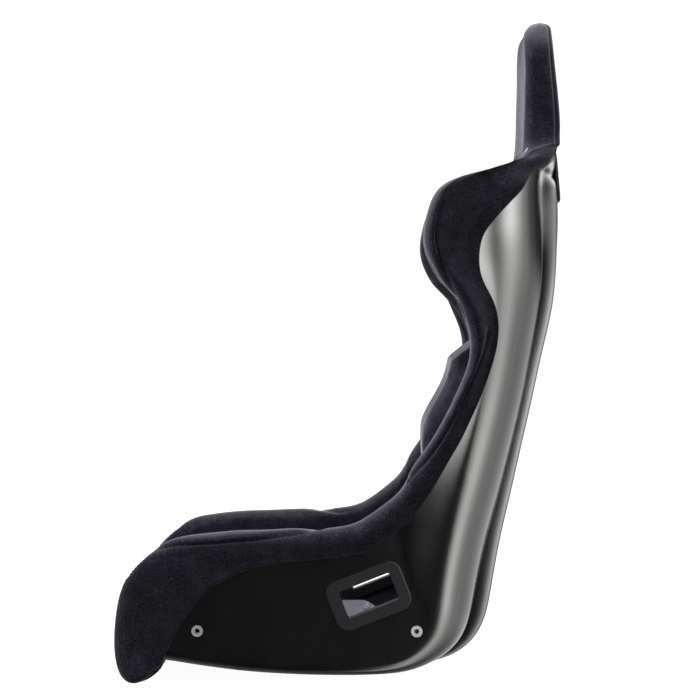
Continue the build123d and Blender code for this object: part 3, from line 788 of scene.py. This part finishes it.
def cushion_loops(first, last, half, tops, round_edge):
    """Closed sections of a cushion on the lining, (x, y, z)."""
    loops = []
    for index, top in zip(range(first, last + 1), tops):
        low = face_level(index) + STRIP_STACK + 0.6
        edge = min(round_edge, (top - low) / 2 - 1)
        loop = []
        for k in range(9):
            across = (half - edge) * (2 * k / 8 - 1)
            loop.append((across, top))
        loop += [(half - 0.3 * edge, top - 0.3 * edge), (half, top - edge), (half, low + edge)]
        loop += [(half - 0.3 * edge, low + 0.3 * edge)]
        for k in range(9):
            loop.append(((half - edge) * (1 - 2 * k / 8), low))
        loop += [(-half + 0.3 * edge, low + 0.3 * edge), (-half, low + edge), (-half, top - edge)]
        loop += [(-half + 0.3 * edge, top - 0.3 * edge)]
        loops.append([place(index, x, t) for x, t in loop])
    return loops


def inflate(piece, pressure, frames, cap, voxel=5.0):
    """Cloth simulation that swells a closed piece, with no point moving further than the cap."""
    remesh = piece.modifiers.new("remesh", "REMESH")
    remesh.mode = "VOXEL"
    remesh.voxel_size = voxel * MM
    applied(piece)
    start = np.array([v.co for v in piece.data.vertices])
    cloth = piece.modifiers.new("cloth", "CLOTH")
    cloth.settings.use_pressure = True
    cloth.settings.uniform_pressure_force = pressure
    cloth.settings.effector_weights.gravity = 0
    cloth.settings.quality = 6
    cloth.point_cache.frame_start = 1
    cloth.point_cache.frame_end = frames
    scene = bpy.context.scene
    for number in range(1, frames + 1):
        scene.frame_set(number)
    graph = bpy.context.evaluated_depsgraph_get()
    swollen = piece.evaluated_get(graph).to_mesh()
    moved = np.array([v.co for v in swollen.vertices])
    piece.modifiers.clear()
    scene.frame_set(1)
    shift = moved - start
    length = np.linalg.norm(shift, axis=1, keepdims=True)
    limit = cap * MM
    shift *= np.minimum(1, limit / np.maximum(length, 1e-9))
    piece.data.vertices.foreach_set("co", (start + shift).ravel())
    piece.data.update()
    shade_smooth(piece)
    return piece


def subdivided(piece):
    """The piece with its faces divided once and smoothed."""
    divided = piece.modifiers.new("smooth", "SUBSURF")
    divided.levels = divided.render_levels = 1
    return applied(piece)


def make_seat_cushion(material):
    """Wedge cushion, thicker under the thighs."""
    tops = []
    for index in range(SEAT_FIRST, SEAT_LAST + 1):
        foam = SEAT_FOAM + THIGH_RISE * ramp(-ribs[index].rim[0], 40, 230)
        tops.append(face_level(index) + STRIP_STACK + foam)
    loops = cushion_loops(SEAT_FIRST, SEAT_LAST, SEAT_HALF, tops, SEAT_ROUND)
    cushion = tube("seat_cushion_cover", loops, 3, 3, material)
    inflate(cushion, PRESSURE, SWELL_FRAMES, SWELL_CAP)
    subdivided(cushion)
    cut(cushion, [slot_prism("crotch", 1, *CROTCH_PASS, -200, 0)])
    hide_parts("seat_cushion")
    return cushion


def make_lumbar_cushion(material):
    """Cushion of the lower back, a little ahead of the side trims and thin at its lower end."""
    tops = []
    for index in range(LUMBAR_FIRST, LUMBAR_LAST + 1):
        thin = face_level(index) + STRIP_STACK + 20
        full = ribs[index].depth + 13 + 5 * ramp(index, 18, 21)
        tops.append(thin + (full - thin) * ramp(index, 14, 18))
    loops = cushion_loops(LUMBAR_FIRST, LUMBAR_LAST, LUMBAR_HALF, tops, LUMBAR_ROUND)
    cushion = tube("lumbar_cushion_cover", loops, 3, 3, material)
    inflate(cushion, PRESSURE, SWELL_FRAMES, SWELL_CAP)
    subdivided(cushion)
    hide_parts("lumbar_cushion")
    return cushion


# ---------------------------------------------------------------- materials
def new_material(name):
    material = bpy.data.materials.new(name)
    material.use_nodes = True
    nodes = material.node_tree.nodes
    return material, nodes, material.node_tree.links, nodes["Principled BSDF"]


def noise_node(nodes, links, scale, detail=3.0, roughness=0.6):
    place_node = nodes.new("ShaderNodeTexCoord")
    texture = nodes.new("ShaderNodeTexNoise")
    texture.inputs["Scale"].default_value = scale
    texture.inputs["Detail"].default_value = detail
    texture.inputs["Roughness"].default_value = roughness
    links.new(place_node.outputs["Object"], texture.inputs["Vector"])
    return texture.outputs["Fac"]


def colour_ramp(nodes, links, source, stops):
    """Colour ramp; stops are (position, colour)."""
    node = nodes.new("ShaderNodeValToRGB")
    elements = node.color_ramp.elements
    while len(elements) < len(stops):
        elements.new(0.5)
    for element, (position, colour) in zip(elements, stops):
        element.position = position
        element.color = (*colour, 1)
    links.new(source, node.inputs["Fac"])
    return node.outputs["Color"]


def bump(nodes, links, height, strength, distance, normal=None):
    node = nodes.new("ShaderNodeBump")
    node.inputs["Strength"].default_value = strength
    node.inputs["Distance"].default_value = distance * MM
    links.new(height, node.inputs["Height"])
    if normal:
        links.new(normal, node.inputs["Normal"])
    return node.outputs["Normal"]


def velour_material():
    material, nodes, links, shader = new_material("velour")
    fibres = noise_node(nodes, links, 900, 4, 0.7)
    patches = noise_node(nodes, links, 45, 3, 0.6)
    shade = nodes.new("ShaderNodeMath")
    shade.operation = "MULTIPLY_ADD"
    links.new(patches, shade.inputs[0])
    shade.inputs[1].default_value = 0.2
    links.new(fibres, shade.inputs[2])
    colour = colour_ramp(nodes, links, shade.outputs[0], [
        (0.43, (0.002, 0.0019, 0.0028)),
        (0.61, (0.0112, 0.0105, 0.015)),
        (0.81, (0.06, 0.057, 0.076)),
    ])
    links.new(colour, shader.inputs["Base Color"])
    shader.inputs["Roughness"].default_value = 0.95
    shader.inputs["Specular IOR Level"].default_value = 0.02
    shader.inputs["Sheen Weight"].default_value = 0.55
    shader.inputs["Sheen Roughness"].default_value = 0.35
    shader.inputs["Sheen Tint"].default_value = (0.62, 0.6, 0.7, 1)
    pile = bump(nodes, links, fibres, 0.5, 0.6)
    links.new(bump(nodes, links, patches, 0.25, 2.0, pile), shader.inputs["Normal"])
    return material


def gelcoat_material():
    material, nodes, links, shader = new_material("gelcoat")
    haze = noise_node(nodes, links, 30, 4, 0.6)
    links.new(
        colour_ramp(nodes, links, haze, [(0.3, (0.0035, 0.0035, 0.0036)), (0.7, (0.006, 0.006, 0.006))]),
        shader.inputs["Base Color"],
    )
    polish = nodes.new("ShaderNodeMapRange")
    polish.inputs["To Min"].default_value = 0.13
    polish.inputs["To Max"].default_value = 0.2
    links.new(haze, polish.inputs["Value"])
    links.new(polish.outputs["Result"], shader.inputs["Roughness"])
    shader.inputs["IOR"].default_value = 1.52
    ripple = noise_node(nodes, links, 14, 2, 0.5)
    peel = noise_node(nodes, links, 420, 3, 0.6)
    first = bump(nodes, links, ripple, 0.12, 3.0)
    links.new(bump(nodes, links, peel, 0.22, 0.3, first), shader.inputs["Normal"])
    return material


def plastic_material():
    material, nodes, links, shader = new_material("satin_plastic")
    grain = noise_node(nodes, links, 1400, 2, 0.5)
    links.new(
        colour_ramp(nodes, links, grain, [(0.3, (0.004, 0.004, 0.005)), (0.7, (0.009, 0.009, 0.011))]),
        shader.inputs["Base Color"],
    )
    shader.inputs["Roughness"].default_value = 0.42
    shader.inputs["Specular IOR Level"].default_value = 0.12
    links.new(bump(nodes, links, grain, 0.2, 0.15), shader.inputs["Normal"])
    return material


def steel_material(name, colour, roughness):
    material, nodes, links, shader = new_material(name)
    wear = noise_node(nodes, links, 600, 3, 0.6)
    low = tuple(c * 0.75 for c in colour)
    links.new(colour_ramp(nodes, links, wear, [(0.3, low), (0.7, colour)]), shader.inputs["Base Color"])
    shader.inputs["Metallic"].default_value = 1.0
    shader.inputs["Roughness"].default_value = roughness
    links.new(bump(nodes, links, wear, 0.15, 0.1), shader.inputs["Normal"])
    return material


def strip_material():
    material, nodes, links, shader = new_material("hook_and_loop")
    loops = noise_node(nodes, links, 1100, 2, 0.5)
    links.new(
        colour_ramp(nodes, links, loops, [(0.35, (0.004, 0.004, 0.004)), (0.7, (0.02, 0.02, 0.02))]),
        shader.inputs["Base Color"],
    )
    shader.inputs["Roughness"].default_value = 0.9
    links.new(bump(nodes, links, loops, 0.6, 0.6), shader.inputs["Normal"])
    return material


def thread_material():
    material, nodes, links, shader = new_material("thread")
    twist = noise_node(nodes, links, 2500, 2, 0.5)
    links.new(
        colour_ramp(nodes, links, twist, [(0.3, (0.002, 0.002, 0.003)), (0.7, (0.006, 0.006, 0.008))]),
        shader.inputs["Base Color"],
    )
    shader.inputs["Roughness"].default_value = 0.75
    shader.inputs["Specular IOR Level"].default_value = 0.1
    return material


def stage_material():
    material, nodes, links, shader = new_material("stage_paint")
    speck = noise_node(nodes, links, 3, 2, 0.5)
    links.new(
        colour_ramp(nodes, links, speck, [(0.3, (0.11, 0.11, 0.11)), (0.7, (0.12, 0.12, 0.12))]),
        shader.inputs["Base Color"],
    )
    shader.inputs["Roughness"].default_value = 0.9
    shader.inputs["Emission Color"].default_value = (1, 1, 1, 1)
    shader.inputs["Emission Strength"].default_value = 0.95
    return material


# ---------------------------------------------------------------- stage, camera and light
# Radius and height of the floor and of the backdrop it curves up into.
STAGE_PROFILE = [(10, 0), (2500, 0), (5200, 0), (5700, 120), (6000, 600), (6100, 1500), (6100, 4500)]
STAGE_AROUND = 64


def make_stage():
    """A pale floor just below the seat, that curves up into a backdrop on every side."""
    rings = []
    middle, drop = 72, 1.5
    for radius, height in STAGE_PROFILE:
        ring = []
        for step in range(STAGE_AROUND):
            angle = 2 * math.pi * step / STAGE_AROUND
            ring.append((radius * math.cos(angle), middle + radius * math.sin(angle), height - drop))
        rings.append(ring)
    vertices = [point for ring in rings for point in ring]
    faces = tube_faces(len(rings), STAGE_AROUND) + [tuple(range(STAGE_AROUND))]
    stage = new_object("studio_floor", to_frame(vertices), faces, stage_material())
    stage.visible_glossy = False
    stage.visible_diffuse = False
    stage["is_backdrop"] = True


def make_camera():
    """Side view from the seat's left, at the height of the lower back, from 3.68 m."""
    data = bpy.data.cameras.new("camera")
    data.sensor_width = 36
    data.lens = 135.6
    camera = bpy.data.objects.new("camera", data)
    bpy.context.collection.objects.link(camera)
    camera.location = (3.68, 0.0721, 0.475)
    heading = Vector((-1, -0.01707, -0.00948))
    camera.rotation_euler = heading.to_track_quat("-Z", "Y").to_euler()
    bpy.context.scene.camera = camera


def softbox(name, location, target, size, power):
    """Area light in metres and watts, turned to its target."""
    data = bpy.data.lights.new(name, "AREA")
    data.shape = "RECTANGLE"
    data.size, data.size_y = size
    data.energy = power
    light = bpy.data.objects.new(name, data)
    bpy.context.collection.objects.link(light)
    light.location = location
    light.rotation_euler = (Vector(target) - Vector(location)).to_track_quat("-Z", "Y").to_euler()


# Light from all round: degrees from +X towards +Y, and brightness at that bearing. MIRRORED is what
# glossy faces show: the dark wall beside the camera, then a tall softbox, then a dim far wall.
# SOFT is what lights cloth: most of it comes from ahead of the seat. HEIGHTS scales both by the
# height looked at, from -1 straight down to 1 straight up. OVERHEAD and FLOOR are added to them.
MIRRORED = [
    (-180, 0.3),
    (-120, 1.2),
    (-60, 0.8),
    (-12, 0.02),
    (7, 0.03),
    (12, 5.0),
    (26, 15.0),
    (42, 17.0),
    (58, 12.0),
    (80, 4.5),
    (105, 0.8),
    (130, 0.12),
    (155, 0.03),
    (180, 0.02),
]
SOFT = [
    (-180, 0.9),
    (-110, 3.4),
    (-70, 2.2),
    (-25, 0.1),
    (10, 0.05),
    (50, 0.45),
    (110, 0.5),
    (180, 0.9),
]
HEIGHTS = [(-1, 0.3), (-0.25, 0.45), (0.05, 1.0), (0.5, 0.9), (0.8, 0.5), (1, 0.4)]
FLOOR_BEARINGS = [(-180, 0.6), (-90, 0.2), (0, 0.0), (60, 0.0), (95, 1.0), (140, 1.0), (180, 0.6)]
FLOOR_HEIGHTS = [(-1, 0.2), (-0.6, 0.9), (-0.3, 1.6), (-0.1, 1.0), (0, 0.0), (1, 0.0)]
OVERHEAD = [(-1, 0.0), (0.3, 0.0), (0.8, 1.8), (1, 2.4)]


def level(nodes, links, source, low, high, knots, tint=(1, 1, 1)):
    """Brightness by a value between low and high; knots are (value, brightness)."""
    share = nodes.new("ShaderNodeMapRange")
    share.inputs["From Min"].default_value = low
    share.inputs["From Max"].default_value = high
    links.new(source, share.inputs["Value"])
    stops = [((value - low) / (high - low), tuple(bright * c for c in tint)) for value, bright in knots]
    return colour_ramp(nodes, links, share.outputs["Result"], stops)


def mixed(nodes, links, blend_type, factor, first, second):
    mix = nodes.new("ShaderNodeMix")
    mix.data_type = "RGBA"
    mix.blend_type = blend_type
    if isinstance(factor, float):
        mix.inputs["Factor"].default_value = factor
    else:
        links.new(factor, mix.inputs["Factor"])
    links.new(first, mix.inputs["A"])
    links.new(second, mix.inputs["B"])
    return mix.outputs["Result"]


def make_world():
    """White to the eye; for light and reflections, the studio that the tables above describe."""
    world = bpy.data.worlds.new("studio")
    bpy.context.scene.world = world
    world.use_nodes = True
    nodes, links = world.node_tree.nodes, world.node_tree.links
    back = nodes["Background"]
    coordinate = nodes.new("ShaderNodeTexCoord")
    split = nodes.new("ShaderNodeSeparateXYZ")
    links.new(coordinate.outputs["Generated"], split.inputs[0])
    bearing = nodes.new("ShaderNodeMath")
    bearing.operation = "ARCTAN2"
    links.new(split.outputs["Y"], bearing.inputs[0])
    links.new(split.outputs["X"], bearing.inputs[1])
    found = []
    for bearings, tint in ((SOFT, (1, 1, 1)), (MIRRORED, (0.99, 1, 0.965))):
        knots = [(math.radians(angle), bright) for angle, bright in bearings]
        found.append(level(nodes, links, bearing.outputs[0], -math.pi, math.pi, knots, tint))
    path = nodes.new("ShaderNodeLightPath")
    around = mixed(nodes, links, "MIX", path.outputs["Is Glossy Ray"], *found)
    heights = level(nodes, links, split.outputs["Z"], -1, 1, HEIGHTS)
    overhead = level(nodes, links, split.outputs["Z"], -1, 1, OVERHEAD)
    walls = mixed(nodes, links, "MULTIPLY", 1.0, around, heights)
    knots = [(math.radians(angle), bright) for angle, bright in FLOOR_BEARINGS]
    behind = level(nodes, links, bearing.outputs[0], -math.pi, math.pi, knots)
    below = level(nodes, links, split.outputs["Z"], -1, 1, FLOOR_HEIGHTS)
    floor = mixed(nodes, links, "MULTIPLY", 1.0, behind, below)
    studio = mixed(nodes, links, "ADD", 1.0, walls, overhead)
    studio = mixed(nodes, links, "ADD", 1.0, studio, floor)
    seen = nodes.new("ShaderNodeMix")
    seen.data_type = "RGBA"
    links.new(path.outputs["Is Camera Ray"], seen.inputs["Factor"])
    links.new(studio, seen.inputs["A"])
    seen.inputs["B"].default_value = (1, 1, 1, 1)
    links.new(seen.outputs["Result"], back.inputs["Color"])


def make_lights():
    softbox("top_box", (-0.5, -0.5, 2.8), (0, 0, 0.4), (2.0, 2.0), 70)
    softbox("front_box", (0.3, -2.7, 1.5), (0, 0, 0.4), (1.6, 1.6), 95)


def give(node, material):
    """The CAD node's own mesh, in a new material."""
    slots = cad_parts[node].data.materials
    slots.clear()
    slots.append(material)


# ---------------------------------------------------------------- assembly
make_camera()
make_stage()
make_world()
make_lights()
bpy.context.scene.view_settings.view_transform = "Standard"

velour = velour_material()
gelcoat = gelcoat_material()
plastic = plastic_material()
bright_steel = steel_material("zinc_plated_steel", (0.6, 0.6, 0.6), 0.28)
dark_steel = steel_material("primed_steel", (0.1, 0.1, 0.105), 0.5)
strips = strip_material()
thread = thread_material()

held = [make_shell(gelcoat)]
held += [make_trim(name, side, velour, thread) for name, side in SIDES.items()]
held += [make_front_roll(velour), make_headrest(velour), make_lining(velour)]
for piece in held:
    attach(piece, "seat")
for make, body in ((make_seat_cushion, "seat_cushion"), (make_lumbar_cushion, "lumbar_cushion")):
    cushion = make(velour)
    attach(cushion, body)

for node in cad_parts:
    if "grommet" in node:
        give(node, plastic)
    elif "insert" in node:
        give(node, bright_steel)
    elif "plate" in node:
        give(node, dark_steel)
    elif "strips" in node:
        give(node, strips)

visual_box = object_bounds()
boxes = {"cad": CAD_BOX, "visual": visual_box}
boxes = {name: [list(corner) for corner in box] for name, box in boxes.items()}
